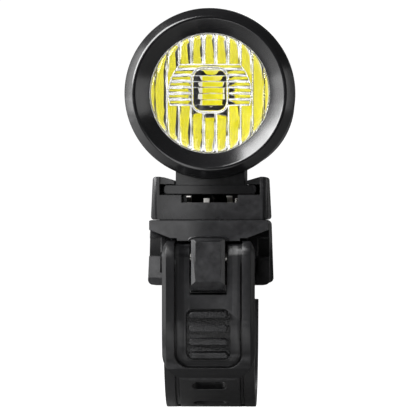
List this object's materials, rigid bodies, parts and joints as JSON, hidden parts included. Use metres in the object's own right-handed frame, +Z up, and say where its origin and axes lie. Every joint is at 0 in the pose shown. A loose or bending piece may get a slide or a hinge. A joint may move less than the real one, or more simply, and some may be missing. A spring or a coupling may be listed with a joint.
{
  "type": "bike headlight",
  "caption": "Tube-shaped bicycle headlight with a fluted lens in a dished ring, on a slide-in bracket with a swivel and a lever-tightened rubber strap for a handlebar.",
  "frame": {"origin": "centre of the handlebar that the clamp holds, on the middle plane of the light", "axes": "+Z up, +X along the handlebar to the right of someone who faces the lens, beam along -Y"},
  "size_m": [0.037, 0.1131, 0.0869],
  "materials": {
    "anodised_black": "black anodised, satin",
    "clear_optic": "clear moulded acrylic, fluted",
    "clear_pipe": "clear moulded acrylic",
    "seal_rubber": "soft matte",
    "silicone_black": "matte silicone",
    "button_rubber": "matte silicone",
    "button_trim": "black anodised, satin",
    "dark_plastic": "fine-grained glass-filled nylon",
    "lever_plastic": "fine-grained glass-filled nylon",
    "inner_plastic": "plain moulded",
    "emitter_yellow": "yellow phosphor under a clear dome",
    "board_white": "white solder mask on aluminium",
    "board_green": "green solder mask",
    "cell_wrap": "plain blue shrink wrap on a metal can",
    "lead_rubber": "insulated wire",
    "steel": "zinc-plated or stainless"
  },
  "bodies": {
    "clamp": {"clamp_base": "dark_plastic", "saddle_pad": "silicone_black", "swivel_screw": "steel", "swivel_washer": "steel", "swivel_nut": "steel", "lever_pin": "steel", "strap_pin": "steel"},
    "turntable": {"turntable": "dark_plastic", "rail_spring": "steel", "latch_pin": "steel", "latch_spring": "steel"},
    "latch": {"release_latch": "lever_plastic"},
    "lamp": {"bezel_ring": "anodised_black", "optic_gasket": "seal_rubber", "front_optic": "clear_optic", "optic_holder": "inner_plastic", "led_emitter": "emitter_yellow", "led_board": "board_white", "led_board_screws": "steel", "body_tube": "anodised_black", "battery_cell": "cell_wrap", "cell_holder": "inner_plastic", "battery_contacts": "steel", "driver_board": "board_green", "button_switch": "inner_plastic", "lamp_leads": "lead_rubber", "button_ring": "button_trim", "light_pipe": "clear_pipe", "charge_board": "board_green", "charge_board_screws": "steel", "charging_socket": "steel", "rear_cap": "anodised_black", "rear_cap_seal": "seal_rubber", "port_cover_pin": "steel", "mount_rail": "dark_plastic", "rail_screws": "steel"},
    "button": {"power_button": "button_rubber"},
    "cover": {"port_cover": "button_rubber"},
    "lever": {"clamp_lever": "lever_plastic"},
    "strap": {"strap": "silicone_black"}
  },
  "joints": [
    {"name": "turntable_swivel", "type": "hinge", "parent": "clamp", "child": "turntable", "pos_m": [0, -0.002, 0.0215], "axis": [0, 0, 1], "range_deg": [-15, 15]},
    {"name": "lamp_slide", "type": "slide", "parent": "turntable", "child": "lamp", "axis": [0, -1, 0], "range_m": [0, 0.024]},
    {"name": "latch_press", "type": "hinge", "parent": "turntable", "child": "latch", "pos_m": [0, 0.0052, 0.0242], "axis": [-1, 0, 0], "range_deg": [0, 6], "stiffness_Nm_per_rad": 0.05, "springref_deg": -5.73},
    {"name": "button_press", "type": "slide", "parent": "lamp", "child": "button", "axis": [0, 0, -1], "range_m": [0, 0.0008], "stiffness_N_per_m": 1000, "springref_m": -0.001},
    {"name": "cover_open", "type": "hinge", "parent": "lamp", "child": "cover", "pos_m": [0, 0.0873, 0.0543], "axis": [1, 0, 0], "range_deg": [0, 110]},
    {"name": "lever_open", "type": "hinge", "parent": "clamp", "child": "lever", "pos_m": [0, -0.0189, 0.0136], "axis": [-1, 0, 0], "range_deg": [0, 95]},
    {"name": "strap_swing", "type": "hinge", "parent": "clamp", "child": "strap", "pos_m": [0, 0.02119, 0.01224], "axis": [1, 0, 0], "range_deg": [0, 11.4]}
  ],
  "couplings": [
    {"joint": "strap_swing", "follows": "lever_open", "ratio": 0.12}
  ]
}
